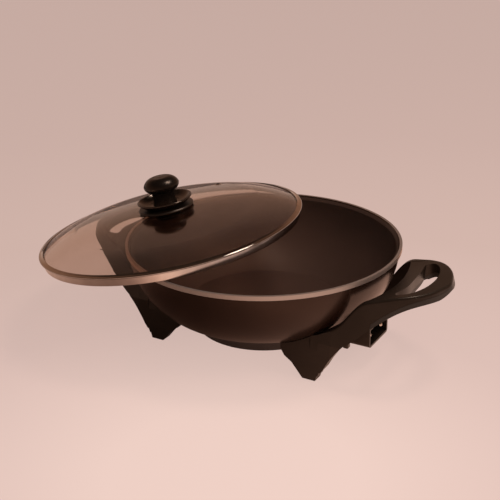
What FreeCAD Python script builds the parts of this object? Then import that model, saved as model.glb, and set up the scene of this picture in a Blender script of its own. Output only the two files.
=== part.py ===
import FreeCAD
import Part
import math
import os

from FreeCAD import Placement, Rotation, Vector

# Electric wok with a loose glass lid laid askew on its rim. Millimetres, +Z up.
# The origin is on the bowl's axis, at the height of the table that the four feet stand on.
# +X points along the handles, towards the side with the power socket.

# ---- general clearances ----
air = 0.3               # gap between rigid pieces that only lie near each other
seat = 0.05             # gap between pieces that are clamped or pressed together
big = 400.0             # longer than anything here, for cutting tools

# ---- cast bowl ----
rim_radius = 165.0      # outside of the rim, 33 cm across
rim_width = 3.6         # the flat bare ring on top
rim_height = 124.0      # top of the rim above the table
rim_band = 5.0          # height of the bare band
band_step = 2.5         # how far the band stands out from the bowl
bowl_wall = 4.0
bowl_curve = 92.5       # radius of the bowl's outer curve, seen from the side
base_radius = 90.0      # flat underside
base_height = 33.0      # height of that underside above the table
floor_thickness = 6.0

# ---- element under the floor ----
element_radius = 68.0   # of the ring
tube_radius = 3.25
element_drop = 2.5      # the tube's axis below the underside of the floor
groove_gap = 0.3
terminal_spacing = 31.8
terminal_height = 37.0
pin_radius = 3.0
stud_radius = 2.1       # thin inner end of a pin
pin_length = 29.5       # from the bushing to the pin's tip
leg_turn_radius = 12.0  # where the ring turns out to the cold legs
leg_clearance = 1.1     # under the bowl's wall, where the cold legs start to rise
bushing_radius = 5.0
bushing_length = 5.6

# ---- sleeve for the plug-in temperature probe ----
sensor_bore = 3.1
sleeve_wall = 0.8
sleeve_inner_end = 66.0
sleeve_set_back = 1.4   # its outer end, inwards from the end of the cold legs
sensor_height = 33.0
boss_wall = 2.0

# ---- steel shield that closes the underside ----
shield_sheet = 1.2
shield_top_radius = 93.0
shield_low_radius = 84.5
shield_lift = 17.0      # its floor above the table
shield_screw_circle = 40.0
slot_circle = 64.0
slot_count = 12
slot_size = (16.0, 4.0)

# ---- socket guard ----
guard_half_width = 26.0
guard_wall = 2.5
guard_floor_height = 25.0
guard_depth = 36.5
bushing_behind = 1.3    # length of the bushings behind the guard's back wall
guard_corner = 4.0
ear_length = 13.0
ear_width = 11.0
ear_thickness = 3.0
ear_post_radius = 4.5
ear_post_height = 11.0

# ---- handle mouldings ----
loop_top = 114.5        # top of the grip above the table
loop_depth = 11.0       # height of the grip bar
reach = 73.0            # outer end of the grip beyond the rim
opening_start = 27.0    # inner side of the finger opening beyond the rim
opening_end = 51.5      # outer side of it
opening_half = 48.0
bridge_start = 10.5     # inner face of the bridge beyond the rim
bridge_ridge = 104.0    # top of that face above the table
bridge_slope = 17.0     # degrees that the bridge's top rises outwards
bridge_low = 92.0       # underside of the bridge above the table
leg_half_span = 84.0    # outer faces of the legs from the middle
flank_lean = 0.24       # how far the outer faces lean inwards per mm of height
lean_start = 50.0       # height where they start to lean
leg_thickness = 14.0
arm_gap = 60.0          # from the middle to the arms' inner faces at the bridge
foot_in = 69.0          # inner edge of a foot, inwards from the rim's outside
foot_out = 53.0         # outer edge of a foot
edge_round = 3.0        # rounding of the top outer edge
hugging_gap = 0.5       # between moulding and bowl
pocket_depth = 2.0      # recess in the outer face, at the top of a leg; it fades out downwards
pocket_width = 10.5
pocket_height = 17.0
pocket_low = 40.0       # its lower end above the table
cover_thickness = 5.5   # cover that closes the grip from below
cover_inner_end = 8.0   # where that cover begins, beyond the rim
parting_gap = 0.25

# ---- small fasteners ----
screw_radius = 1.9
screw_head_radius = 3.6
screw_head_height = 2.2
screw_clearance = 0.2
boss_radius = 5.6
boss_height = 8.0       # how far the legs' bosses stand below the bowl's wall
leg_screw_inset = 81.0  # legs' screws, inwards from the rim's outside
leg_screw_grip = 3.0    # plastic between the screw's head and the boss
pad_radius = 4.6
pad_thickness = 3.5
pad_show = 1.0

# ---- lid, in its own frame: axis +Z, the middle of its flange at z 0 ----
flange_radius = rim_radius
flange_thickness = 2.4
skirt_play = 0.4        # between the skirt and the inside of the rim
skirt_depth = 10.2      # its lower edge below the middle of the flange
sheet = 0.9             # stainless band
glass_thickness = 4.0
glass_edge_height = 0.6  # top of the glass at the edge of the band
dome_top = 24.3         # top of the glass at the middle
crown_curve = 760.0     # radius of the flat sphere that makes the glass's middle
shoulder_width = 45.0   # of the rounder zone between that and the band
lip_width = 1.6         # of the crimp over the glass
shelf_width = 4.5       # of the inner shelf that carries the glass
vent_inset = 53.0       # from the flange's edge to the vent
vent_angle = 88.0
vent_bore = 2.5
eyelet_wall = 0.5
eyelet_lip = 1.8
knob_bore = 4.5         # hole in the middle of the glass
knob_screw_radius = 2.5
disc_thickness = 3.0    # heat-proof disc between the glass and the saucer
collar_radius = 34.0    # of the saucer and of that disc
collar_middle = 3.0     # height of the saucer's flat middle above its underside
collar_rise = 9.2       # height of its rim
collar_sheet = 2.4      # its thickness near the rim
collar_foot = 17.0      # radius of the underside's flat middle
washer_thickness = 0.9
washer_radius = 11.0
neck_radius = 13.4
cap_radius = 22.0
cap_low = 46.5
cap_rim = 54.5
cap_top = 64.2
under_boss_radius = 17.0
under_boss_height = 9.0
insert_radius = 4.2
insert_length = 14.0

# ---- where the lid lies: askew, with its skirt on the rim and its glass over the plain grip's end ----
lid_shift = 121.8       # from the bowl's axis to the lid's, seen from above
lid_shift_bearing = 190.9  # that way, in degrees from +X towards +Y
lid_tilt_bearing = 193.9  # the side that is lower
lid_rim_gap = 0.3
lid_grip_gap = 5.0

os.makedirs("parts", exist_ok=True)

up = Vector(0, 0, 1)


def write(name, shape):
    """Write one node; a node of several alike pieces is a compound of solids."""
    solids = shape.Solids
    result = solids[0] if len(solids) == 1 else Part.makeCompound(solids)
    result.exportStep("parts/" + name + ".step")
    print(name, len(solids), "solid", round(result.Volume / 1000.0, 2), "cm3", result.isValid())


def round_bar(radius, length, x, y, z, direction=up):
    return Part.makeCylinder(radius, length, Vector(x, y, z), direction)


def tube(outer, inner, length, x, y, z, direction=up):
    return round_bar(outer, length, x, y, z, direction).cut(round_bar(inner, length, x, y, z, direction))


def box(low, high):
    size = [b - a for a, b in zip(low, high)]
    return Part.makeBox(*size, Vector(*low))


def outline(points, place):
    """Closed wire. A pair of points is an arc through the first to the second; a list is a smooth curve."""
    edges = []
    here = place(points[0])
    for entry in points[1:] + points[:1]:
        if isinstance(entry, list):
            passed = [place(point) for point in entry]
            end = passed[-1]
            curve = Part.BSplineCurve()
            curve.interpolate([here] + passed)
            edges.append(curve.toShape())
        elif isinstance(entry[0], tuple):
            middle, end = place(entry[0]), place(entry[1])
            edges.append(Part.Arc(here, middle, end).toShape())
        else:
            end = place(entry)
            if here.distanceToPoint(end) > 1e-6:
                edges.append(Part.makeLine(here, end))
        here = end
    return Part.Wire(edges)


def side_view(point):
    return Vector(point[0], 0, point[1])


def top_view(point):
    return Vector(point[0], point[1], 0)


def turned(points):
    """Solid of revolution about the z axis from an outline in (radius, height)."""
    return Part.Face(outline(points, side_view)).revolve(Vector(0, 0, 0), up, 360)


def top_prism(wire, low, high):
    face = Part.Face(wire)
    face.translate(Vector(0, 0, low))
    return face.extrude(Vector(0, 0, high - low))


def mirrored_y(shape):
    return shape.mirror(Vector(0, 0, 0), Vector(0, 1, 0))


def mirrored_x(shape):
    return shape.mirror(Vector(0, 0, 0), Vector(1, 0, 0))


def pair(shape):
    return Part.makeCompound([shape, mirrored_y(shape)])


# ---------------------------------------------------------------- bowl
band_low = rim_height - rim_band
bowl_top_radius = rim_radius - band_step
floor_top = base_height + floor_thickness
rim_inner = rim_radius - rim_width


def curve_centre():
    """Centre (radius, height) of the bowl's side curve, through its top and its foot."""
    dx = bowl_top_radius - base_radius
    dz = band_low - base_height
    half = math.hypot(dx, dz) / 2.0
    rise = math.sqrt(bowl_curve ** 2 - half ** 2)
    middle = ((bowl_top_radius + base_radius) / 2.0, (band_low + base_height) / 2.0)
    return middle[0] - rise * dz / (2 * half), middle[1] + rise * dx / (2 * half)


curve_x, curve_z = curve_centre()


def curve_at_height(offset, height):
    """Point on the curve moved outwards by offset, at that height."""
    radius = bowl_curve + offset
    return curve_x + math.sqrt(radius ** 2 - (height - curve_z) ** 2), height


def curve_at_angle(offset, degrees):
    radius = bowl_curve + offset
    angle = math.radians(degrees)
    return curve_x + radius * math.cos(angle), curve_z + radius * math.sin(angle)


def curve_height(offset, radius_out):
    """Height of the moved curve at that distance from the bowl's axis."""
    radius = bowl_curve + offset
    return curve_z - math.sqrt(radius ** 2 - (radius_out - curve_x) ** 2)


def bowl_region(offset):
    """Everything inside the bowl's outer skin moved outwards by offset, closed on top."""
    low = base_height - offset
    start = curve_at_height(offset, low + 0.01) if offset > 0 else (base_radius, base_height)
    top = curve_at_height(offset, band_low - offset)
    return turned([
        (0, low), (start[0], low), (curve_at_angle(offset, -40), top),
        (rim_radius + offset, band_low - offset), (rim_radius + offset, rim_height + big / 4),
        (0, rim_height + big / 4),
    ])


inner_top = curve_at_height(-bowl_wall, band_low)
inner_low = curve_at_height(-bowl_wall, floor_top)
pan = turned([
    (0, base_height), (base_radius, base_height),
    (curve_at_angle(0, -40), (bowl_top_radius, band_low)),
    (rim_radius, band_low), (rim_radius, rim_height), (rim_inner, rim_height),
    inner_top, (curve_at_angle(-bowl_wall, -40), inner_low), (0, floor_top),
])

# ring groove in the underside that holds the element, and its way out to the terminals;
# the bushings stand where the wall leaves room above them, and the guard and the sleeve follow
element_height = base_height - element_drop
half_spacing = terminal_spacing / 2
leg_rise_start = curve_at_height(0, element_height + tube_radius + leg_clearance)[0]
bushing_start = curve_at_height(0, terminal_height + bushing_radius + air)[0]
element_end = bushing_start - air
sleeve_reach = element_end - sleeve_set_back
guard_back = bushing_start + bushing_behind
guard_reach = guard_back + guard_depth


def swept(path_edges, radius):
    path = Part.Wire(path_edges)
    start = path_edges[0].valueAt(path_edges[0].FirstParameter)
    tangent = path_edges[0].tangentAt(path_edges[0].FirstParameter)
    section = Part.Wire(Part.makeCircle(radius, start, tangent))
    return path.makePipeShell([section], True, True)


def cold_leg_path():
    """From the ring's end out to the terminal: a level turn, a slope up and a level end."""
    turn_y = half_spacing + leg_turn_radius
    turn_x = math.sqrt((element_radius + leg_turn_radius) ** 2 - turn_y ** 2)
    share = element_radius / (element_radius + leg_turn_radius)
    joint = Vector(turn_x * share, turn_y * share, element_height)
    centre = Vector(turn_x, turn_y, element_height)
    flat_start = Vector(turn_x, half_spacing, element_height)
    inward = (joint - centre).normalize()
    downward = (flat_start - centre).normalize()
    middle = centre + (inward + downward).normalize() * leg_turn_radius
    slope_start = leg_rise_start
    slope_end = element_end - stud_radius / 2
    rise = terminal_height - element_height
    run = slope_end - slope_start
    angle = 2 * math.atan2(rise, run)
    bend = run / 2 / math.sin(angle)
    edges = [Part.Arc(joint, middle, flat_start).toShape()]
    bend_start = Vector(slope_start, half_spacing, element_height)
    bend_end = Vector(slope_end, half_spacing, terminal_height)
    halfway = (bend_start + bend_end) / 2
    low_middle = bend_start + Vector(bend * math.sin(angle / 2), 0, bend * (1 - math.cos(angle / 2)))
    high_middle = bend_end - Vector(bend * math.sin(angle / 2), 0, bend * (1 - math.cos(angle / 2)))
    edges.append(Part.makeLine(flat_start, bend_start))
    edges.append(Part.Arc(bend_start, low_middle, halfway).toShape())
    edges.append(Part.Arc(halfway, high_middle, bend_end).toShape())
    edges.append(Part.makeLine(bend_end, Vector(element_end, half_spacing, terminal_height)))
    return edges, joint


leg_edges, ring_end = cold_leg_path()
groove = Part.makeTorus(element_radius, tube_radius + groove_gap, Vector(0, 0, element_height))
way_out = swept(leg_edges[:2], tube_radius + groove_gap)
pan = pan.cut([groove, way_out, mirrored_y(way_out)])

# bosses that stand down from the bowl's wall for the legs' screws
skin = bowl_region(-bowl_wall / 2)
leg_screw_x = rim_radius - leg_screw_inset
leg_screw_y = leg_half_span - leg_thickness / 2
leg_boss_low = curve_height(0, math.hypot(leg_screw_x, leg_screw_y)) - boss_height
boss_hole_depth = boss_height + bowl_wall / 4
leg_boss = round_bar(boss_radius, big / 4, leg_screw_x, leg_screw_y, leg_boss_low).cut(skin)
leg_hole = round_bar(screw_radius + seat, boss_hole_depth, leg_screw_x, leg_screw_y, leg_boss_low)

# bosses for the guard's two screws
ear_x = guard_back - ear_length / 2
ear_y = guard_half_width + ear_width / 2
ear_boss_low = guard_floor_height + ear_post_height
ear_boss = round_bar(ear_post_radius, big / 4, ear_x, ear_y, ear_boss_low).cut(skin)
ear_hole_depth = curve_height(0, math.hypot(ear_x, ear_y)) - ear_boss_low + bowl_wall / 4
ear_hole = round_bar(screw_radius + seat, ear_hole_depth, ear_x, ear_y, ear_boss_low)

# posts for the shield's three screws
shield_floor_top = shield_lift + shield_sheet
post_angles = [60, 180, 300]
posts = []
post_holes = []
for angle in post_angles:
    px = shield_screw_circle * math.cos(math.radians(angle))
    py = shield_screw_circle * math.sin(math.radians(angle))
    post_length = base_height - shield_floor_top - seat
    posts.append(round_bar(boss_radius, post_length + 1, px, py, shield_floor_top + seat))
    post_holes.append(round_bar(screw_radius + seat, post_length, px, py, shield_floor_top + seat))

# boss along the floor for the temperature probe's sleeve
sleeve_radius = sensor_bore + sleeve_wall
sensor_boss_end = sleeve_reach - sleeve_wall * 4
sensor_boss = round_bar(
    sleeve_radius + boss_wall, sensor_boss_end - sleeve_inner_end + boss_wall,
    sleeve_inner_end - boss_wall, 0, sensor_height, Vector(1, 0, 0)
).cut(bowl_region(-bowl_wall / 2))
sleeve_hole = round_bar(sleeve_radius + seat, big / 4, sleeve_inner_end, 0, sensor_height, Vector(1, 0, 0))

pan = pan.fuse([leg_boss, mirrored_y(leg_boss), mirrored_x(leg_boss), mirrored_x(mirrored_y(leg_boss))])
pan = pan.fuse([ear_boss, mirrored_y(ear_boss), sensor_boss] + posts)
pan = pan.cut([leg_hole, mirrored_y(leg_hole), mirrored_x(leg_hole), mirrored_x(mirrored_y(leg_hole))])
pan = pan.cut([ear_hole, mirrored_y(ear_hole), sleeve_hole] + post_holes)
write("pan", pan)

sleeve = tube(sleeve_radius, sensor_bore, sleeve_reach - sleeve_inner_end - seat,
              sleeve_inner_end + seat, 0, sensor_height, Vector(1, 0, 0))
write("probe_sleeve", sleeve)

# ---------------------------------------------------------------- heating element
end_angle = math.degrees(math.atan2(ring_end.y, ring_end.x))
ring_arc = Part.ArcOfCircle(
    Part.Circle(Vector(0, 0, element_height), up, element_radius),
    math.radians(end_angle), math.radians(180)
).toShape()
half_element = swept([ring_arc], tube_radius).fuse(swept(leg_edges, tube_radius))
element = half_element.fuse(mirrored_y(half_element))
stud_socket = round_bar(stud_radius + seat, 2 * tube_radius, element_end - tube_radius, half_spacing,
                        terminal_height, Vector(1, 0, 0))
element = element.cut([stud_socket, mirrored_y(stud_socket)])
write("heating_element", element)

bushing = tube(bushing_radius, stud_radius + seat, bushing_length, bushing_start, half_spacing,
               terminal_height, Vector(1, 0, 0))
write("terminal_bushings", pair(bushing))

pin_start = bushing_start + bushing_length + seat
pin_reach = pin_start + pin_length
stud_start = element_end - tube_radius + air
pin_body = round_bar(pin_radius, pin_reach - pin_radius - pin_start, pin_start, half_spacing,
                     terminal_height, Vector(1, 0, 0))
pin_tip = Part.makeSphere(pin_radius, Vector(pin_reach - pin_radius, half_spacing, terminal_height))
pin_stud = round_bar(stud_radius, pin_start - stud_start + 1, stud_start, half_spacing,
                     terminal_height, Vector(1, 0, 0))
write("terminal_pins", pair(pin_body.fuse([pin_tip, pin_stud])))

# ---------------------------------------------------------------- base shield
shield = turned([
    (0, shield_lift), (shield_low_radius, shield_lift), (shield_top_radius, base_height - air),
    (shield_top_radius - shield_sheet, base_height - air),
    (shield_low_radius - shield_sheet, shield_floor_top), (0, shield_floor_top),
])
slots = []
for i in range(slot_count):
    slot = box((slot_circle - slot_size[0] / 2, -slot_size[1] / 2, shield_lift - 1),
               (slot_circle + slot_size[0] / 2, slot_size[1] / 2, shield_floor_top + 1))
    slot.rotate(Vector(0, 0, 0), up, (i + 0.5) * 360.0 / slot_count)
    slots.append(slot)
legs_notch = box(
    (shield_low_radius - 3 * shield_sheet, -half_spacing - tube_radius - 2, element_height - tube_radius - 2),
    (shield_top_radius + 5, half_spacing + tube_radius + 2, base_height + 1))
shield_screws = []
for angle in post_angles:
    px = shield_screw_circle * math.cos(math.radians(angle))
    py = shield_screw_circle * math.sin(math.radians(angle))
    slots.append(round_bar(screw_radius + screw_clearance, 4, px, py, shield_lift - 1))
    head = round_bar(screw_head_radius, screw_head_height, px, py, shield_lift - seat - screw_head_height)
    shank = round_bar(screw_radius, base_height - shield_lift - 2, px, py, shield_lift - seat - 1)
    shield_screws.append(head.fuse(shank))
shield = shield.cut(slots + [legs_notch])
write("base_shield", shield)
write("base_shield_screws", Part.makeCompound(shield_screws))

# ---------------------------------------------------------------- socket guard
clear_bowl = bowl_region(hugging_gap)
guard_inner = guard_half_width - guard_wall
guard_shell = box((guard_back, -guard_half_width, guard_floor_height),
                  (guard_reach, guard_half_width, terminal_height + guard_half_width / 2))
long_edges = [e for e in guard_shell.Edges
              if abs(e.BoundBox.XLength - (guard_reach - guard_back)) < 1e-6
              and e.BoundBox.ZMax < guard_floor_height + 1]
guard_shell = guard_shell.makeFillet(guard_corner, long_edges)
guard_hollow = box(
    (guard_back + guard_wall, -guard_inner, guard_floor_height + guard_wall),
    (guard_reach + 1, guard_inner, terminal_height + guard_half_width / 2 - guard_wall))
ear = box((guard_back - ear_length, guard_half_width - guard_wall, guard_floor_height),
          (guard_back + guard_wall, guard_half_width + ear_width, guard_floor_height + ear_thickness))
ear_post = round_bar(ear_post_radius, ear_post_height - seat, ear_x, ear_y, guard_floor_height)
guard = guard_shell.cut(guard_hollow).fuse([ear, mirrored_y(ear), ear_post, mirrored_y(ear_post)])
bushing_hole = round_bar(bushing_radius + seat, big / 8, guard_back - 1, half_spacing, terminal_height,
                         Vector(1, 0, 0))
window = box((guard_back - 1, -guard_inner / 3, guard_floor_height + guard_wall),
             (guard_back + guard_wall + 1, guard_inner / 3, sensor_height + sleeve_radius + 3))
ear_screw_hole = round_bar(screw_radius + screw_clearance, big / 8, ear_x, ear_y, guard_floor_height - 1)
ear_sink = round_bar(screw_head_radius + air, screw_head_height + 1 + seat, ear_x, ear_y,
                     guard_floor_height - 1)
bushing_cut = bushing_hole.common(box((guard_back - 2, 0, 0), (guard_back + guard_wall + 0.1, big, big)))
guard = guard.cut([bushing_cut, mirrored_y(bushing_cut), window, ear_screw_hole,
                   mirrored_y(ear_screw_hole), ear_sink, mirrored_y(ear_sink), clear_bowl])
write("socket_guard", guard)

ear_head = round_bar(screw_head_radius, screw_head_height, ear_x, ear_y, guard_floor_height)
ear_shank = round_bar(screw_radius, ear_post_height + ear_hole_depth - 1, ear_x, ear_y,
                      guard_floor_height + 0.5)
write("socket_guard_screws", pair(ear_head.fuse(ear_shank)))

# ---------------------------------------------------------------- handle moulding
end_x = rim_radius + reach
loop_low = loop_top - loop_depth
bridge_x = rim_radius + bridge_start
foot_x_in = rim_radius - foot_in
foot_x_out = rim_radius - foot_out

leg_inner_x = foot_x_in - 28
back_x = foot_x_in - 60
side_points = [
    (end_x, loop_top),
    (end_x, loop_low + 6),
    ((end_x - 2, loop_low + 2), (end_x - 6, loop_low)),
    [(end_x - 13, loop_low + 0.3), (end_x - 26, loop_low - 1.8), (end_x - 37, loop_low - 6.5),
     (end_x - 50, loop_low - 15), (end_x - 68, loop_low - 30), (rim_radius - 12, 58), (rim_radius - 20, 52)],
    ((rim_radius - 32, 37), (rim_radius - 43, 18)),
    (foot_x_out + 6, 12.4), (foot_x_out + 4.8, 12.6), (foot_x_out + 3, 7.4), (foot_x_out + 1.8, 7.6),
    (foot_x_out, pad_show),
    (foot_x_in, pad_show),
    (foot_x_in - 14, 18), (foot_x_in - 23, 24), (leg_inner_x, 32), (leg_inner_x, 45),
    (rim_radius - 52, 58.5),
    [(rim_radius - 36, 68), (rim_radius - 29, 73.5), (rim_radius - 17, 89), (rim_radius - 10, 97.5),
     (rim_radius - 3, bridge_ridge - 1), (rim_radius + 9, loop_top - 7.5), (rim_radius + 22, loop_top - 4),
     (rim_radius + 35, loop_top - 1.3), (rim_radius + 48, loop_top)],
]
grip_plan = [
    (end_x - 2.5, 0), (end_x - 5.4, 13.5), (end_x - 9, 25), (end_x - 17.5, 41.2), (end_x - 31, 53.9),
    (end_x - 43, 59.5), (end_x - 58, 63.8), (rim_radius + 2, 66.7), (rim_radius - 16, 67.5),
]


def shifted(points, out):
    """The points of a curve moved by out to its right-hand side."""
    result = []
    for i, (x, y) in enumerate(points):
        before, after = points[max(i - 1, 0)], points[min(i + 1, len(points) - 1)]
        along = math.hypot(after[0] - before[0], after[1] - before[1])
        result.append((x + out * (after[1] - before[1]) / along, y - out * (after[0] - before[0]) / along))
    return result


def plan_wire(height):
    """Outer edge of the moulding from above, at that height: a smooth nose and straight flanks."""
    out = flank_lean * (loop_top - height)
    half = shifted([(x, y) for x, y in grip_plan[1:]], out)
    flank = (rim_radius - 35, leg_half_span - flank_lean * (height - lean_start))
    upper = [(grip_plan[0][0] + out, 0)] + half + [flank]
    nose = [Vector(x, -y, height) for x, y in reversed(upper[1:])] + [Vector(x, y, height) for x, y in upper]
    curve = Part.BSplineCurve()
    curve.interpolate(nose)
    corners = [nose[-1], Vector(back_x, flank[1], height), Vector(back_x, -flank[1], height), nose[0]]
    return Part.Wire([curve.toShape()] + [Part.makeLine(a, b) for a, b in zip(corners, corners[1:])])


def opening_wire():
    """Finger opening: nearly straight towards the bowl, bowed towards the end of the grip."""
    start = rim_radius + opening_start
    stop = rim_radius + opening_end
    near = [Vector(start - 3.5, opening_half - 4, 0), Vector(start - 1.5, opening_half - 18, 0), Vector(start, 0, 0),
            Vector(start - 1.5, 18 - opening_half, 0), Vector(start - 3.5, 4 - opening_half, 0)]
    far = [
        Vector(start + 3, -opening_half, 0), Vector(start + 11, 3 - opening_half, 0),
        Vector(stop - 7, -36, 0), Vector(stop - 1, -16, 0), Vector(stop - 1, 16, 0), Vector(stop - 7, 36, 0),
        Vector(start + 11, opening_half - 3, 0), Vector(start + 3, opening_half, 0),
    ]
    curve = Part.BSplineCurve()
    curve.interpolate(near + far, PeriodicFlag=True)
    return Part.Wire([curve.toShape()])


opening = top_prism(opening_wire(), 0, rim_height + 10)
leaning = Part.makeLoft([plan_wire(lean_start), plan_wire(loop_top + 2)], True, True)
upright = Part.Face(plan_wire(lean_start)).extrude(Vector(0, 0, -lean_start))
envelope = leaning.fuse(upright)
side_face = Part.Face(outline(side_points, side_view))


def thick(face):
    moved = face.copy()
    moved.translate(Vector(0, -big / 2, 0))
    return moved.extrude(Vector(0, big, 0))


whole = thick(side_face).common(envelope)
top_edges = [e for e in whole.Edges if e.BoundBox.ZMax > loop_top - seat and e.BoundBox.XLength > 1]
whole = whole.makeFillet(edge_round, top_edges)

# space between the two arms: under the bridge, and up through the gap beside the bowl
arm_inner_low = leg_half_span - leg_thickness
under_x = rim_radius + opening_start + 12
between = top_prism(outline([
    (back_x, -arm_inner_low), (foot_x_out, -arm_inner_low), (bridge_x, -arm_gap), (under_x, 12 - arm_gap),
    (under_x, arm_gap - 12), (bridge_x, arm_gap), (foot_x_out, arm_inner_low), (back_x, arm_inner_low),
], top_view), 0, bridge_low)
slope_run = opening_start
slope_rise = slope_run * math.tan(math.radians(bridge_slope))
throat = turned([
    (0, 0), (bridge_x, 0), (bridge_x, bridge_ridge), (bridge_x + slope_run, bridge_ridge + slope_rise),
    (0, bridge_ridge + slope_rise),
]).common(top_prism(outline([
    (back_x, -arm_inner_low), (foot_x_out, -arm_inner_low), (bridge_x, -arm_gap), (end_x, -arm_gap),
    (end_x, arm_gap), (bridge_x, arm_gap), (foot_x_out, arm_inner_low), (back_x, arm_inner_low),
], top_view), 0, rim_height + big / 10))
handle = whole.cut([between, throat, opening, clear_bowl])

# cover under the grip: the lowest layer of the grip and arms
cover_x = rim_radius + cover_inner_end


def low_layer(height):
    """The part of the side view within height of its lower edge, beyond the cover's inner end."""
    lifted = side_face.copy()
    lifted.translate(Vector(0, 0, height))
    layer = side_face.cut(lifted).common(Part.Face(outline([
        (cover_x - (height - cover_thickness), 0), (end_x + 5, 0),
        (end_x + 5, loop_top - 2), (cover_x - (height - cover_thickness), loop_top - 2)], side_view)))
    return layer.Faces[0] if len(layer.Faces) == 1 else max(layer.Faces, key=lambda f: f.Area)


cover = thick(low_layer(cover_thickness)).common(envelope).cut([opening, between])
handle = handle.cut(thick(low_layer(cover_thickness + parting_gap)))

# pockets for the bosses, screws and pads
handle_cuts = []
cover_cuts = []
leg_screw_parts = []
pad_parts = []
head_top = leg_boss_low - leg_screw_grip
pocket_x = foot_x_out - 7.5
for side in (1, -1):
    y = side * leg_screw_y
    handle_cuts.append(round_bar(boss_radius + air, big / 4, leg_screw_x, y, leg_boss_low - seat))
    handle_cuts.append(round_bar(screw_radius + screw_clearance, big / 8, leg_screw_x, y, head_top - 5))
    handle_cuts.append(round_bar(screw_head_radius + air, big / 8, leg_screw_x, y, head_top - big / 8))
    head = round_bar(screw_head_radius, screw_head_height, leg_screw_x, y, head_top - seat - screw_head_height)
    shank = round_bar(screw_radius, leg_screw_grip + boss_hole_depth - 0.5, leg_screw_x, y, head_top - seat - 0.5)
    leg_screw_parts.append(head.fuse(shank))
    pad_x = (foot_x_in + foot_x_out) / 2
    handle_cuts.append(round_bar(pad_radius + seat, pad_thickness - pad_show + seat, pad_x, y, pad_show))
    pad_parts.append(round_bar(pad_radius, pad_thickness, pad_x, y, 0))
    pocket_top = pocket_low + pocket_height
    pocket_face = Part.Face(Part.makePolygon([Vector(pocket_x, *point) for point in (
        (leg_half_span, pocket_low), (leg_half_span - pocket_depth, pocket_top),
        (leg_half_span + 1, pocket_top), (leg_half_span + 1, pocket_low), (leg_half_span, pocket_low))]))
    pocket = pocket_face.extrude(Vector(pocket_width, 0, 0))
    handle_cuts.append(pocket if side > 0 else mirrored_y(pocket))
handle = handle.cut(handle_cuts)

grip_bar_x = (rim_radius + opening_end + end_x) / 2
arm_screw_x = rim_radius + opening_start + 1
arm_screw_y = opening_half + 7.5
grip_screw_parts = []
for x, y, low in ((grip_bar_x, 0, loop_low), (arm_screw_x, arm_screw_y, loop_low - 11),
                  (arm_screw_x, -arm_screw_y, loop_low - 11)):
    cover_cuts.append(round_bar(screw_radius + screw_clearance, big / 8, x, y, low - 3))
    cover_cuts.append(round_bar(screw_head_radius + air, screw_head_height + 10, x, y, low - 10))
    grip_screw_parts.append(
        round_bar(screw_head_radius, screw_head_height, x, y, low).fuse(
            round_bar(screw_radius, cover_thickness + 2, x, y, low + 0.5)))
    handle = handle.cut(round_bar(screw_radius + seat, cover_thickness + 2.5, x, y, low + 0.5))
cover = cover.cut(cover_cuts)

for side_name, placed in (("right", lambda s: s), ("left", mirrored_x)):
    write("handle_" + side_name, placed(handle))
    write("grip_cover_" + side_name, placed(cover))
    write("grip_screws_" + side_name, placed(Part.makeCompound(grip_screw_parts)))
    write("leg_screws_" + side_name, placed(Part.makeCompound(leg_screw_parts)))
    write("foot_pads_" + side_name, placed(Part.makeCompound(pad_parts)))

# ---------------------------------------------------------------- lid
skirt_radius = flange_radius - rim_width - skirt_play
glass_radius = skirt_radius - sheet - air
crown_radius = skirt_radius - shoulder_width
crown_slope = math.asin(crown_radius / crown_curve)
crown_centre = dome_top - crown_curve
crown_height = crown_centre + crown_curve * math.cos(crown_slope)
# the shoulder's arc leaves the crown in line with it and comes down to the band
shoulder_drop = crown_height - glass_edge_height
shoulder_curve = math.hypot(shoulder_drop, shoulder_width) / (
    2 * math.sin(math.atan2(shoulder_drop, shoulder_width) - crown_slope))
shoulder_out = crown_radius - shoulder_curve * math.sin(crown_slope)
shoulder_centre = crown_height - shoulder_curve * math.cos(crown_slope)


def dome_height(radius_out, depth=0.0):
    """Height of the glass's upper face, or of a face depth below it, at that distance from the axis."""
    if radius_out < crown_radius - depth * math.sin(crown_slope):
        return crown_centre + math.sqrt((crown_curve - depth) ** 2 - radius_out ** 2)
    return shoulder_centre + math.sqrt((shoulder_curve - depth) ** 2 - (radius_out - shoulder_out) ** 2)


def dome_point(radius_out, depth=0.0):
    return radius_out, dome_height(radius_out, depth)


def lid_at(tilt):
    """The lid's place at that tilt in degrees: the skirt's edge is just clear where it crosses the rim."""
    low_side = math.radians(lid_tilt_bearing)
    turn = Rotation(Vector(-math.sin(low_side), math.cos(low_side), 0), tilt)
    way = math.radians(lid_shift_bearing)
    centre = Vector(lid_shift * math.cos(way), lid_shift * math.sin(way), 0)
    inner = skirt_radius - sheet
    lowest = big
    for step in range(1440):
        angle = math.radians(step / 4)
        edge = centre + turn.multVec(
            Vector(inner * math.cos(angle), inner * math.sin(angle), -skirt_depth))
        if math.hypot(edge.x, edge.y) < rim_radius:
            lowest = min(lowest, edge.z)
    centre.z = rim_height + lid_rim_gap - lowest
    return Placement(centre, turn)


def gap_over_grip(tilt):
    """From the top of the plain grip's end up to the inside of the glass's crown."""
    middle = lid_at(tilt).multVec(Vector(0, 0, crown_centre))
    across = math.hypot(edge_round - grip_plan[0][0] - middle.x, middle.y)
    return middle.z + math.sqrt((crown_curve - glass_thickness) ** 2 - across ** 2) - loop_top


# the tilt that leaves that gap over the grip, found by halving
tilt_low, tilt_high = 0.0, 20.0
while tilt_high - tilt_low > 0.001:
    tilt = (tilt_low + tilt_high) / 2
    if gap_over_grip(tilt) > lid_grip_gap:
        tilt_low = tilt
    else:
        tilt_high = tilt
lid_place = lid_at(tilt_low)
print("lid at", lid_place.Base, "tilt", round(tilt_low, 2))


def write_on_lid(name, shape):
    placed = shape.copy()
    placed.Placement = lid_place.multiply(placed.Placement)
    write(name, placed)


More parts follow.
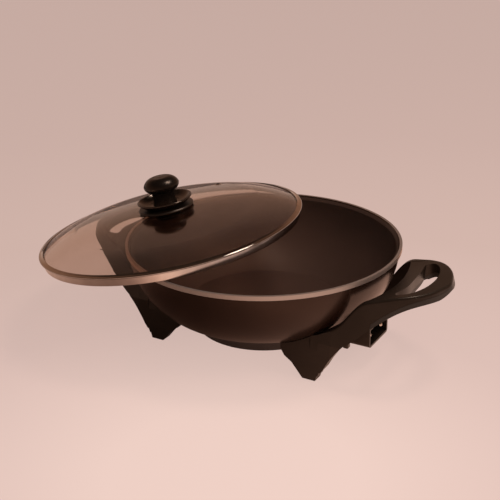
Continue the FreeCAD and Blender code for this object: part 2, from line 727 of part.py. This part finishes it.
shoulder_middle = (crown_radius + glass_radius) / 2
crown_inside = crown_radius - glass_thickness * math.sin(crown_slope)
glass = turned([
    dome_point(knob_bore), (dome_point(crown_radius / 2), dome_point(crown_radius)),
    (dome_point(shoulder_middle), dome_point(glass_radius)), dome_point(glass_radius, glass_thickness),
    (dome_point(shoulder_middle, glass_thickness), dome_point(crown_inside, glass_thickness)),
    (dome_point(crown_inside / 2, glass_thickness), dome_point(knob_bore, glass_thickness)),
])
vent_radius_out = flange_radius - vent_inset
vent_place = Placement(
    Vector(0, 0, 0), Rotation(up, vent_angle)
).multiply(Placement(
    Vector(vent_radius_out, 0, dome_height(vent_radius_out)),
    Rotation(Vector(0, 1, 0), math.degrees(math.asin(vent_radius_out / crown_curve)))))


def at_vent(shape):
    shape.Placement = vent_place.multiply(shape.Placement)
    return shape


vent_hole_radius = vent_bore + eyelet_wall + seat
glass = glass.cut(at_vent(round_bar(vent_hole_radius, 4 * glass_thickness, 0, 0, -2 * glass_thickness)))
write_on_lid("lid_glass", glass)

lip_lift = 0.25
eyelet_out = vent_bore + eyelet_wall
eyelet = turned([
    (vent_bore, -glass_thickness - lip_lift - eyelet_wall),
    (eyelet_out + eyelet_lip, -glass_thickness - lip_lift - eyelet_wall),
    (eyelet_out + eyelet_lip, -glass_thickness - lip_lift),
    (eyelet_out, -glass_thickness - lip_lift), (eyelet_out, lip_lift),
    (eyelet_out + eyelet_lip, lip_lift), (eyelet_out + eyelet_lip, lip_lift + eyelet_wall / 2),
    (eyelet_out + eyelet_lip / 2, lip_lift + eyelet_wall), (vent_bore, lip_lift + eyelet_wall),
])
write_on_lid("vent_eyelet", at_vent(eyelet))

flange_top = flange_thickness / 2
lip_inner = skirt_radius - lip_width
shelf_inner = skirt_radius - shelf_width
edge_glass_low = dome_height(glass_radius, glass_thickness)
rim_band_section = [
    (skirt_radius - sheet, -skirt_depth), (skirt_radius, -skirt_depth), (skirt_radius, -flange_top),
    (flange_radius - flange_top, -flange_top),
    ((flange_radius, 0), (flange_radius - flange_top, flange_top)),
    (skirt_radius + sheet, flange_top + sheet / 2),
    (lip_inner, dome_height(lip_inner) + air + sheet), (lip_inner, dome_height(lip_inner) + air),
    (skirt_radius - sheet, dome_height(skirt_radius - sheet) + air),
    (skirt_radius - sheet, edge_glass_low - air),
    (shelf_inner, edge_glass_low - air), (shelf_inner, edge_glass_low - air - sheet),
    (skirt_radius - sheet, edge_glass_low - air - sheet),
]
write_on_lid("lid_band", turned(rim_band_section))

washer_low = dome_top + seat
collar_low = washer_low + disc_thickness + seat
disc_edge = disc_thickness / 3
washer_top = turned([
    (knob_screw_radius + air, washer_low), (collar_radius - disc_edge, washer_low),
    (collar_radius, washer_low + disc_edge), (collar_radius, collar_low - seat - disc_edge),
    (collar_radius - disc_edge, collar_low - seat), (knob_screw_radius + air, collar_low - seat),
])
write_on_lid("knob_washer_upper", washer_top)

# the saucer's underside and its inside are arcs that run up side by side to a round rim
collar_inside = collar_low + collar_middle
collar_top = collar_low + collar_rise
collar = turned([
    (knob_screw_radius + air, collar_low), (collar_foot, collar_low),
    ((collar_foot + 11, collar_low + 3), (collar_radius, collar_top - collar_sheet / 2)),
    ((collar_radius - collar_sheet / 4, collar_top), (collar_radius - collar_sheet, collar_top - 0.6)),
    ((collar_foot + 10, collar_inside + 2), (collar_foot + 1.5, collar_inside)),
    (knob_screw_radius + air, collar_inside),
])
write_on_lid("knob_collar", collar)

neck_low = collar_inside + seat
knob = turned([
    (0, neck_low), (neck_radius + 1.5, neck_low),
    ((neck_radius, (neck_low + cap_low) / 2), (neck_radius + 1.5, cap_low)),
    ((cap_radius - 2.6, cap_low + 2.2), (cap_radius, cap_rim)),
    ((cap_radius - 4.4, cap_top - 3.4), (cap_radius / 3, cap_top - 0.35)), (0, cap_top),
])
knob = knob.cut(round_bar(insert_radius + seat, insert_length + seat, 0, 0, neck_low - 1))
write_on_lid("knob_grip", knob)
insert = tube(insert_radius, knob_screw_radius + seat, insert_length - 1, 0, 0, neck_low)
write_on_lid("knob_insert", insert)

under_washer_low = dome_height(washer_radius, glass_thickness) - seat - washer_thickness
write_on_lid("knob_washer_lower", tube(washer_radius, knob_screw_radius + air, washer_thickness, 0, 0,
                                       under_washer_low))
boss_top = under_washer_low - seat
under_boss = turned([
    (knob_screw_radius + air, boss_top), (under_boss_radius - 3, boss_top),
    (under_boss_radius, boss_top - 2.5), (under_boss_radius - 2, boss_top - under_boss_height),
    (knob_screw_radius + 2.8, boss_top - under_boss_height),
    (knob_screw_radius + 2.8, boss_top - under_boss_height + 3),
    (knob_screw_radius + air, boss_top - under_boss_height + 3),
])
write_on_lid("knob_under_boss", under_boss)
screw_low = boss_top - under_boss_height + 3 - seat
knob_screw = round_bar(knob_screw_radius, neck_low + insert_length - 2 - screw_low, 0, 0, screw_low).fuse(
    round_bar(knob_screw_radius + 2.2, 2.6, 0, 0, screw_low - 2.6))
write_on_lid("knob_screw", knob_screw)
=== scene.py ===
import bpy
import math

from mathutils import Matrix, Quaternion


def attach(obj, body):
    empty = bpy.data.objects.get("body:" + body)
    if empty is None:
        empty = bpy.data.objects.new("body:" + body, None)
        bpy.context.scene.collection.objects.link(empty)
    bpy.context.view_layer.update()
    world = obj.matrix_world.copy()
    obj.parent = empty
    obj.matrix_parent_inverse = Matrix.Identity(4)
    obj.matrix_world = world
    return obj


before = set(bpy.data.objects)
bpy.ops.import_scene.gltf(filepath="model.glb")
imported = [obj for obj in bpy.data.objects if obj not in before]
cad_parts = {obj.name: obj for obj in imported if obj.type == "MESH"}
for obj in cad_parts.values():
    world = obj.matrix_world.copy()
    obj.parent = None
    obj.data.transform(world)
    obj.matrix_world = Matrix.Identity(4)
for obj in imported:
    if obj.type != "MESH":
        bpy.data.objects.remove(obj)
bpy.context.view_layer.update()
bpy.ops.object.select_all(action="DESELECT")

# ------------------------------------------------------------------ bowl
# Cast aluminium bowl, sprayed outside with a dark metallic lacquer and inside with a
# matt non-stick coat; the flat rim on top is turned bare and has a fine lathe finish.


def new_finish(name, colour, rough, metal=0.0, coat=0.0, coat_rough=0.05, gloss=0.5, tint=(1, 1, 1)):
    """A Principled material and its shader; uniform values sit on the shader's own sockets."""
    mat = bpy.data.materials.new(name)
    mat.use_nodes = True
    shader = mat.node_tree.nodes["Principled BSDF"]
    shader.inputs["Base Color"].default_value = (*colour, 1)
    shader.inputs["Roughness"].default_value = rough
    shader.inputs["Metallic"].default_value = metal
    shader.inputs["Coat Weight"].default_value = coat
    shader.inputs["Coat Roughness"].default_value = coat_rough
    shader.inputs["Specular IOR Level"].default_value = gloss
    shader.inputs["Specular Tint"].default_value = (*tint, 1)
    return mat, shader


def node(mat, kind, **settings):
    """A new node with its settings, in a material or the world."""
    made = mat.node_tree.nodes.new(kind)
    for key, value in settings.items():
        setattr(made, key, value)
    return made


def join(mat, source, target):
    """A link from one socket to another."""
    mat.node_tree.links.new(source, target)


def grain(mat, scale, detail=3.0, stretch=(1, 1, 1)):
    """Noise in the piece's own coordinates; stretch makes it finer along an axis."""
    coords = node(mat, "ShaderNodeTexCoord")
    mapping = node(mat, "ShaderNodeMapping")
    mapping.inputs["Scale"].default_value = stretch
    noise = node(mat, "ShaderNodeTexNoise")
    noise.inputs["Scale"].default_value = scale
    noise.inputs["Detail"].default_value = detail
    join(mat, coords.outputs["Object"], mapping.inputs["Vector"])
    join(mat, mapping.outputs["Vector"], noise.inputs["Vector"])
    return noise.outputs["Fac"]


def ramp(mat, source, stops):
    """Colour ramp from (position, colour) stops."""
    made = node(mat, "ShaderNodeValToRGB")
    while len(made.color_ramp.elements) < len(stops):
        made.color_ramp.elements.new(0.5)
    for element, (place, colour) in zip(made.color_ramp.elements, stops):
        element.position = place
        element.color = (*colour, 1)
    join(mat, source, made.inputs["Fac"])
    return made.outputs["Color"]


def mix(mat, factor, first, second):
    """Colour that goes from first to second with factor; each is a socket or a plain colour."""
    made = node(mat, "ShaderNodeMix", data_type="RGBA")
    join(mat, factor, made.inputs[0])
    for target, colour in ((made.inputs[6], first), (made.inputs[7], second)):
        if isinstance(colour, tuple):
            target.default_value = (*colour, 1)
        else:
            join(mat, colour, target)
    return made.outputs[2]


def maths(mat, operation, first, second=None, third=None):
    """A Math node; each value is a socket or a number."""
    made = node(mat, "ShaderNodeMath", operation=operation)
    for i, value in enumerate((first, second, third)):
        if value is None:
            continue
        if isinstance(value, (int, float)):
            made.inputs[i].default_value = value
        else:
            join(mat, value, made.inputs[i])
    return made.outputs[0]


def product(mat, first, *others):
    """All the values multiplied together."""
    for other in others:
        first = maths(mat, "MULTIPLY", first, other)
    return first


def rise(mat, source, base, added):
    """base where source is 0, and base + added where it is 1."""
    return maths(mat, "MULTIPLY_ADD", source, added, base)


def length(mat, x, y):
    """Length of the vector (x, y)."""
    return maths(mat, "SQRT", maths(mat, "ADD", product(mat, x, x), product(mat, y, y)))


def bump(mat, shader, height, strength, distance):
    """Relief on the shader's normal, from a height of 0 to 1."""
    made = node(mat, "ShaderNodeBump")
    made.inputs["Strength"].default_value = strength
    made.inputs["Distance"].default_value = distance
    join(mat, height, made.inputs["Height"])
    join(mat, made.outputs["Normal"], shader.inputs["Normal"])


def dress(node_name, mat):
    """Give a CAD node its material in every slot."""
    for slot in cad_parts[node_name].material_slots:
        slot.material = mat


curve_radius, curve_height = 0.0701, 0.12334   # centre of the wall's curve, seen from the side
wall_middle, floor_middle = 0.0905, 0.0362     # between inside and outside: radius there, height
bare_start, bare_low = 0.1618, 0.1189          # the bare ring lies outside and above these
bare_metal, lacquer_metal = 0.95, 0.20
speckle_relief, ring_relief = 0.6, 0.5

bowl, lacquer = new_finish("bowl", (0.012, 0.005, 0.003), 0.3, metal=0.2, tint=(1.0, 0.72, 0.58))
coords = node(bowl, "ShaderNodeTexCoord")
parts = node(bowl, "ShaderNodeSeparateXYZ")
join(bowl, coords.outputs["Object"], parts.inputs[0])
across = length(bowl, parts.outputs[0], parts.outputs[1])
height = parts.outputs[2]
from_curve = length(bowl, maths(bowl, "MAXIMUM", maths(bowl, "SUBTRACT", across, curve_radius), 0.0),
                    maths(bowl, "SUBTRACT", height, curve_height))
inside = product(bowl, maths(bowl, "LESS_THAN", from_curve, wall_middle),
                 maths(bowl, "GREATER_THAN", height, floor_middle),
                 maths(bowl, "LESS_THAN", across, bare_start))
bare = product(bowl, maths(bowl, "GREATER_THAN", height, bare_low),
               maths(bowl, "GREATER_THAN", across, bare_start))
plain = maths(bowl, "SUBTRACT", 1.0, maths(bowl, "MAXIMUM", inside, bare))

lathe = node(bowl, "ShaderNodeTexNoise", noise_dimensions="1D")
lathe.inputs["Scale"].default_value = 9000
join(bowl, maths(bowl, "ADD", across, height), lathe.inputs["W"])
rings = lathe.outputs["Fac"]
mottle = grain(bowl, scale=26, detail=4)
speckle = grain(bowl, scale=2600, detail=2)
outside_colour = ramp(bowl, mottle, [
    (0.3, (0.0135, 0.0054, 0.0031)), (0.7, (0.0190, 0.0078, 0.0047))])
inside_colour = ramp(bowl, speckle, [
    (0.35, (0.036, 0.0185, 0.0135)), (0.62, (0.050, 0.027, 0.020)), (0.75, (0.080, 0.050, 0.040))])
bare_colour = ramp(bowl, rings, [
    (0.3, (0.43, 0.375, 0.34)), (0.7, (0.55, 0.48, 0.44))])
coat_colour = mix(bowl, inside, outside_colour, inside_colour)
join(bowl, mix(bowl, bare, coat_colour, bare_colour), lacquer.inputs["Base Color"])
join(bowl, rise(bowl, bare, base=product(bowl, plain, lacquer_metal), added=bare_metal),
     lacquer.inputs["Metallic"])
rough_inside = product(bowl, inside, rise(bowl, speckle, base=0.42, added=0.15))
rough_outside = product(bowl, plain, rise(bowl, mottle, base=0.22, added=0.06))
rough_bare = product(bowl, bare, rise(bowl, rings, base=0.42, added=0.12))
join(bowl, maths(bowl, "ADD", rough_inside, maths(bowl, "ADD", rough_outside, rough_bare)),
     lacquer.inputs["Roughness"])
relief = maths(bowl, "ADD", product(bowl, speckle, inside, speckle_relief),
               product(bowl, rings, bare, ring_relief))
bump(bowl, lacquer, relief, strength=0.25, distance=0.00012)
dress("pan", bowl)

# ------------------------------------------------------------------ element and sleeve
# Tubular heating element of stainless steel, pressed into the bowl's underside; the thin sleeve
# between its ends takes the temperature probe. Both are blued a little by heat.


def vary_colour(mat, shader, source, stops):
    """Base colour that follows source through (position, colour) stops."""
    join(mat, ramp(mat, source, stops), shader.inputs["Base Color"])


def vary_rough(mat, shader, source, low, high):
    """Roughness that follows source, from low to high."""
    spread = node(mat, "ShaderNodeMapRange")
    spread.inputs["To Min"].default_value = low
    spread.inputs["To Max"].default_value = high
    join(mat, source, spread.inputs["Value"])
    join(mat, spread.outputs["Result"], shader.inputs["Roughness"])


hot_steel, hot_shader = new_finish("blued_steel", (0.45, 0.40, 0.36), 0.38, metal=1.0)
vary_colour(hot_steel, hot_shader, grain(hot_steel, scale=45), [
    (0.3, (0.40, 0.34, 0.30)), (0.5, (0.50, 0.42, 0.33)), (0.7, (0.30, 0.29, 0.33))])
vary_rough(hot_steel, hot_shader, grain(hot_steel, scale=300), low=0.28, high=0.5)
for piece in ("heating_element", "probe_sleeve"):
    dress(piece, hot_steel)

# ------------------------------------------------------------------ terminals
# Two nickel-plated pins stand in white ceramic bushings; a plug-in thermostat is pushed onto them.
# The threaded insert inside the knob is plated in the same way.
plating, plating_shader = new_finish("nickel_plating", (0.70, 0.62, 0.54), 0.18, metal=1.0)
vary_colour(plating, plating_shader, grain(plating, scale=220), [
    (0.35, (0.62, 0.54, 0.46)), (0.65, (0.74, 0.67, 0.60))])
vary_rough(plating, plating_shader, grain(plating, scale=900, detail=2), low=0.12, high=0.28)
for piece in ("terminal_pins", "knob_insert"):
    dress(piece, plating)

ceramic, ceramic_shader = new_finish("steatite", (0.60, 0.53, 0.46), 0.6)
vary_colour(ceramic, ceramic_shader, grain(ceramic, scale=500), [
    (0.3, (0.52, 0.45, 0.38)), (0.7, (0.64, 0.57, 0.50))])
bump(ceramic, ceramic_shader, grain(ceramic, scale=1500, detail=2), strength=0.2, distance=0.0001)
dress("terminal_bushings", ceramic)

# ------------------------------------------------------------------ base shield
# Pressed steel dish, painted like the bowl, that closes the underside over the element; slots let
# the heat out, and three screws hold it to posts of the casting.
shield, shield_shader = new_finish("painted_shield", (0.028, 0.019, 0.016), 0.42, metal=0.3,
                                   coat=0.3, coat_rough=0.2)
vary_colour(shield, shield_shader, grain(shield, scale=60, detail=4), [
    (0.3, (0.024, 0.016, 0.013)), (0.7, (0.040, 0.028, 0.023))])
vary_rough(shield, shield_shader, grain(shield, scale=400), low=0.34, high=0.52)
dress("base_shield", shield)

# ------------------------------------------------------------------ screws
# Zinc-plated steel screws hold the shield, the guard, the legs and the covers under the grips; one
# more runs up through the lid into the knob.
zinc, zinc_shader = new_finish("zinc_plating", (0.50, 0.46, 0.42), 0.35, metal=1.0)
vary_colour(zinc, zinc_shader, grain(zinc, scale=350), [
    (0.35, (0.42, 0.38, 0.34)), (0.65, (0.56, 0.52, 0.48))])
vary_rough(zinc, zinc_shader, grain(zinc, scale=1200, detail=2), low=0.25, high=0.45)
for screws in ("base_shield_screws", "socket_guard_screws", "grip_screws_right", "grip_screws_left",
               "leg_screws_right", "leg_screws_left", "knob_screw"):
    dress(screws, zinc)

# ------------------------------------------------------------------ handles and guard
# Black-brown phenolic mouldings with a satin surface and faint flow marks; the handles carry the
# bowl on their legs, and the guard shields the pins.
phenolic, phenolic_shader = new_finish("phenolic", (0.0085, 0.0052, 0.0034), 0.36, gloss=0.45,
                                       tint=(1.0, 0.80, 0.66))
flow_stretch = (1, 1, 2.2)
flow_share, fine_share = 0.6, 0.4
flow = grain(phenolic, scale=30, detail=4, stretch=flow_stretch)
fine = grain(phenolic, scale=1600, detail=2)
vary_colour(phenolic, phenolic_shader, flow, [
    (0.3, (0.0095, 0.0058, 0.0037)), (0.7, (0.0140, 0.0088, 0.0060))])
skin = rise(phenolic, fine, base=product(phenolic, flow, flow_share), added=fine_share)
vary_rough(phenolic, phenolic_shader, skin, low=0.30, high=0.44)
bump(phenolic, phenolic_shader, fine, strength=0.10, distance=0.00008)
for moulding in ("handle_right", "handle_left", "socket_guard"):
    dress(moulding, phenolic)

# ------------------------------------------------------------------ grip covers
# A thin cover closes each grip from below and is screwed to it. The covers are duller than the handles,
# and their phenolic is a shade lighter as a painted reflection of the table below them.
cover_phenolic_painted_reflection, cover_shader = new_finish("cover_phenolic_painted_reflection", (0.022, 0.0145, 0.0095), 0.5)
cover_flow = grain(cover_phenolic_painted_reflection, scale=34, detail=4, stretch=flow_stretch)
# painted reflection: lighter stops than the handles' phenolic
vary_colour(cover_phenolic_painted_reflection, cover_shader, cover_flow, [
    (0.3, (0.0190, 0.0122, 0.0078)), (0.7, (0.0260, 0.0172, 0.0115))])
vary_rough(cover_phenolic_painted_reflection, cover_shader, grain(cover_phenolic_painted_reflection, scale=1500, detail=2),
           low=0.42, high=0.56)
for cover in ("grip_cover_right", "grip_cover_left"):
    dress(cover, cover_phenolic_painted_reflection)

# ------------------------------------------------------------------ guide lug
# Small rounded lug under the front arm of the right handle, beside the guard. It is one moulding
# with the handle, so it grows out of the arm and has the same skin.
lug_middle = (0.1471, -0.0770, 0.0537)
lug_size = 0.009
lug_shape = (0.68, 0.75, 0.95)      # length, width and height as shares of that size
lug_rounding = 0.0012
bpy.ops.object.select_all(action="DESELECT")
bpy.ops.mesh.primitive_cube_add(size=lug_size, location=lug_middle, calc_uvs=False)
lug = bpy.context.object
lug.name = "guide_lug"
bpy.ops.object.transform_apply(location=True, rotation=True, scale=True)
bpy.ops.object.mode_set(mode="EDIT")
bpy.ops.mesh.select_all(action="SELECT")
bpy.ops.transform.resize(value=lug_shape, center_override=lug_middle)
bpy.ops.mesh.bevel(offset=lug_rounding, segments=3, affect="EDGES")
bpy.ops.object.mode_set(mode="OBJECT")
bpy.ops.object.shade_smooth_by_angle(angle=math.radians(40))
lug.data.materials.append(phenolic)
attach(lug, "base")

# ------------------------------------------------------------------ foot pads and washer
# Rubber pads pressed into the ends of the legs, and the soft washer between the glass and the
# boss under it.
rubber, rubber_shader = new_finish("rubber", (0.020, 0.016, 0.014), 0.7)
vary_colour(rubber, rubber_shader, grain(rubber, scale=700), [
    (0.3, (0.016, 0.013, 0.011)), (0.7, (0.028, 0.022, 0.019))])
bump(rubber, rubber_shader, grain(rubber, scale=2200, detail=2), strength=0.2, distance=0.0001)
for soft in ("foot_pads_right", "foot_pads_left", "knob_washer_lower"):
    dress(soft, rubber)

# ------------------------------------------------------------------ lid glass
# Domed lid of tempered clear glass with a grey-brown tint; its edge sits in the band, and the
# knob and the vent go through it.
glass, glass_shader = new_finish("tempered_glass", (0.64, 0.51, 0.43), 0.02)
glass_shader.inputs["Transmission Weight"].default_value = 1.0
glass_shader.inputs["IOR"].default_value = 1.5
vary_colour(glass, glass_shader, grain(glass, scale=12, detail=2), [
    (0.3, (0.62, 0.495, 0.41)), (0.7, (0.66, 0.53, 0.445))])
dress("lid_glass", glass)

# ------------------------------------------------------------------ lid band and vent
# Rolled stainless band, polished: a flat flange, a skirt that drops inside the rim and a lip
# that holds the edge of the glass. The eyelet of the vent is rolled from the same steel.
polish, polish_shader = new_finish("polished_steel", (0.62, 0.55, 0.50), 0.12, metal=1.0)
vary_colour(polish, polish_shader, grain(polish, scale=90), [
    (0.3, (0.58, 0.51, 0.46)), (0.7, (0.66, 0.59, 0.54))])
vary_rough(polish, polish_shader, grain(polish, scale=500), low=0.05, high=0.12)
for piece in ("lid_band", "vent_eyelet"):
    dress(piece, polish)

# ------------------------------------------------------------------ knob
# Phenolic knob with a glossier skin than the handles: mushroom cap and waisted neck, clamped to
# the glass by a boss from inside.
knob_tint = (1.0, 0.78, 0.64)
knob_skin, knob_shader = new_finish("knob_phenolic", (0.0050, 0.0030, 0.0022), 0.22, gloss=0.45,
                                    tint=knob_tint)
vary_colour(knob_skin, knob_shader, grain(knob_skin, scale=40), [
    (0.3, (0.0040, 0.0024, 0.0017)), (0.7, (0.0064, 0.0040, 0.0029))])
vary_rough(knob_skin, knob_shader, grain(knob_skin, scale=900, detail=2), low=0.22, high=0.34)
for piece in ("knob_grip", "knob_under_boss"):
    dress(piece, knob_skin)

# ------------------------------------------------------------------ saucer and disc
# Wide saucer that keeps fingers off the hot glass, with the shiniest skin of all; the heat-proof
# disc between it and the glass is a satin moulding like the handles.
saucer_skin, saucer_shader = new_finish("saucer_phenolic", (0.0090, 0.0052, 0.0036), 0.2, gloss=0.95,
                                        tint=knob_tint)
vary_colour(saucer_skin, saucer_shader, grain(saucer_skin, scale=40), [
    (0.3, (0.0080, 0.0046, 0.0032)), (0.7, (0.0115, 0.0068, 0.0048))])
vary_rough(saucer_skin, saucer_shader, grain(saucer_skin, scale=900, detail=2), low=0.14, high=0.24)
dress("knob_collar", saucer_skin)
dress("knob_washer_upper", phenolic)

# ------------------------------------------------------------------ floor
# A wide pale table top in a warm paper tone, with a painted pool of light in front of the wok; it
# shows in gloss and through glass as well, and it keeps the soft shadow of the feet and the bowl. In
# gloss it carries a painted shadow near the foot and painted light to the right.


def pool(mat, coords, middle, reach):
    """1 at middle, falling to 0 at reach from it."""
    spot = node(mat, "ShaderNodeMapping", vector_type="TEXTURE")
    spot.inputs["Location"].default_value = middle
    spot.inputs["Scale"].default_value = reach
    join(mat, coords.outputs["Object"], spot.inputs["Vector"])
    fade = node(mat, "ShaderNodeTexGradient", gradient_type="SPHERICAL")
    join(mat, spot.outputs["Vector"], fade.inputs["Vector"])
    return fade.outputs["Fac"]


bpy.ops.mesh.primitive_circle_add(vertices=96, radius=9, fill_type="NGON", location=(0, 0, 0))
floor = bpy.context.object
floor.name = "floor"
paper, paper_shader = new_finish("paper_floor", (0.62, 0.46, 0.41), 0.9)
coords = node(paper, "ShaderNodeTexCoord")
# painted pool of light: the table's tone is lighter towards a spot in front of the wok, on the right
light_pool = pool(paper, coords, middle=(0.12, -0.28, 0), reach=(1.2, 1.2, 1.2))
tone = ramp(paper, light_pool, [
    (0.0, (0.62, 0.447, 0.398)), (0.45, (0.645, 0.468, 0.415)),
    (0.70, (0.715, 0.526, 0.475)), (0.9, (0.86, 0.643, 0.575))])
join(paper, tone, paper_shader.inputs["Base Color"])

# in gloss the table carries a painted shadow, dark and brown left of the foot, and painted light
# further out and to the right
painted_shadow_pool = pool(paper, coords, middle=(-0.12, -0.11, 0), reach=(1.0, 2.0, 1.0))
painted_reflection_level = ramp(paper, painted_shadow_pool, [(place, (level, level, level)) for place, level in (
    (0.0, 0.45), (0.40, 0.58), (0.61, 0.98), (0.70, 0.92), (0.76, 0.57), (0.81, 0.33),
    (0.89, 0.145), (0.92, 0.09), (1.0, 0.06))])
painted_reflection_hue = ramp(paper, painted_shadow_pool, [
    (0.0, (0.66, 0.475, 0.42)), (0.60, (0.71, 0.465, 0.365)), (0.72, (0.76, 0.47, 0.36)),
    (0.80, (0.86, 0.50, 0.375)), (0.90, (0.77, 0.40, 0.28)), (1.0, (0.75, 0.38, 0.26))])
level_in_middle, rise_to_right, least_level = 1.30, 0.90, 0.3
floor_place = node(paper, "ShaderNodeSeparateXYZ")
join(paper, coords.outputs["Object"], floor_place.inputs[0])
# painted light in the table's gloss that rises towards the right
painted_light_across = rise(paper, floor_place.outputs[0], base=level_in_middle, added=rise_to_right)
painted_reflection_level = product(paper, painted_reflection_level, maths(paper, "MAXIMUM", painted_light_across, least_level))

path = node(paper, "ShaderNodeLightPath")
through_glass = path.outputs["Is Transmission Ray"]
in_gloss = product(paper, path.outputs["Is Glossy Ray"], maths(paper, "SUBTRACT", 1.0, through_glass))
in_view = maths(paper, "MAXIMUM", path.outputs["Is Camera Ray"], through_glass)
shine = node(paper, "ShaderNodeEmission")
join(paper, mix(paper, in_gloss, tone, painted_reflection_hue), shine.inputs["Color"])
join(paper, maths(paper, "ADD", maths(paper, "SUBTRACT", 1.0, in_gloss),
                  product(paper, in_gloss, painted_reflection_level)), shine.inputs["Strength"])
gloss_share, view_share = 0.95, 0.82      # of the plain glow; the rest is lit by the lamps
seen = maths(paper, "MAXIMUM", product(paper, in_gloss, gloss_share),
             product(paper, view_share, in_view))
blend = node(paper, "ShaderNodeMixShader")
join(paper, seen, blend.inputs[0])
join(paper, paper_shader.outputs[0], blend.inputs[1])
join(paper, shine.outputs[0], blend.inputs[2])
join(paper, blend.outputs[0], paper.node_tree.nodes["Material Output"].inputs["Surface"])
floor.data.materials.append(paper)

# ------------------------------------------------------------------ room
# The studio round the table: even light on matt surfaces, a warm glow near the horizon and dark
# above it in gloss, and the table's tone where the camera looks at it or through glass.
even_light = (0.53, 0.50, 0.48)
horizon_tone = (0.60, 0.43, 0.375)
world = bpy.data.worlds.new("studio")
bpy.context.scene.world = world
world.use_nodes = True
sky = world.node_tree.nodes["Background"]
sky.inputs["Strength"].default_value = 1.0
way_up = node(world, "ShaderNodeSeparateXYZ")
join(world, node(world, "ShaderNodeTexCoord").outputs["Generated"], way_up.inputs[0])
glossy_sky = ramp(world, way_up.outputs[2], [
    (0.0, (0.55, 0.38, 0.31)), (0.10, (0.42, 0.26, 0.19)), (0.22, (0.30, 0.155, 0.095)),
    (0.50, (0.16, 0.080, 0.050)), (0.66, (0.03, 0.017, 0.011))])
rays = node(world, "ShaderNodeLightPath")
light_or_gloss = mix(world, rays.outputs["Is Glossy Ray"], even_light, glossy_sky)
plain_view = maths(world, "MAXIMUM", rays.outputs["Is Transmission Ray"], rays.outputs["Is Camera Ray"])
join(world, mix(world, plain_view, light_or_gloss, horizon_tone), sky.inputs["Color"])

# ------------------------------------------------------------------ lamps
# Two square softboxes in a warm white: one high behind on the right, one lower on the right that
# lights without showing in gloss.


def facing(way):
    """Rotation of a lamp or camera that looks along way."""
    return math.atan2(math.hypot(way[0], way[1]), -way[2]), 0, math.atan2(way[1], way[0]) - math.pi / 2


def softbox(name, place, aim, width, power):
    """Square area lamp at place that faces aim."""
    lamp = bpy.data.lights.new(name, "AREA")
    lamp.shape = "RECTANGLE"
    lamp.size = width
    lamp.size_y = width
    lamp.energy = power
    lamp.color = (1.0, 0.86, 0.78)
    holder = bpy.data.objects.new(name, lamp)
    bpy.context.collection.objects.link(holder)
    holder.location = place
    holder.rotation_euler = facing([b - a for a, b in zip(place, aim)])
    return holder


softbox("top_box", place=(0.38, 0.275, 1.53), aim=(0, 0, 0.08), width=0.4, power=9)
side_lamp = softbox("right_box", place=(1.25, 0.1, 1.05), aim=(-0.05, 0, 0.1), width=0.6, power=10)
side_lamp.visible_glossy = False

# ------------------------------------------------------------------ camera
# It stands in front of the wok on the right, above the rim, and looks down at the bowl through a
# moderately long lens, rolled by one degree.
camera_data = bpy.data.cameras.new("camera")
camera_data.lens = 72
camera_data.sensor_width = 36
camera = bpy.data.objects.new("camera", camera_data)
bpy.context.collection.objects.link(camera)
eye = (0.5533, -0.9686, 0.5713)
target = (-0.01449, -0.00857, 0.10909)
roll = math.radians(-1.0)
camera.location = eye
camera.rotation_mode = "XYZ"
camera.rotation_euler = facing([b - a for a, b in zip(eye, target)])
bpy.context.view_layer.update()
level_view = camera.matrix_world.to_quaternion()
camera.rotation_euler = (level_view @ Quaternion((0, 0, 1), roll)).to_euler()
bpy.context.scene.camera = camera
bpy.context.scene.view_settings.view_transform = "Standard"
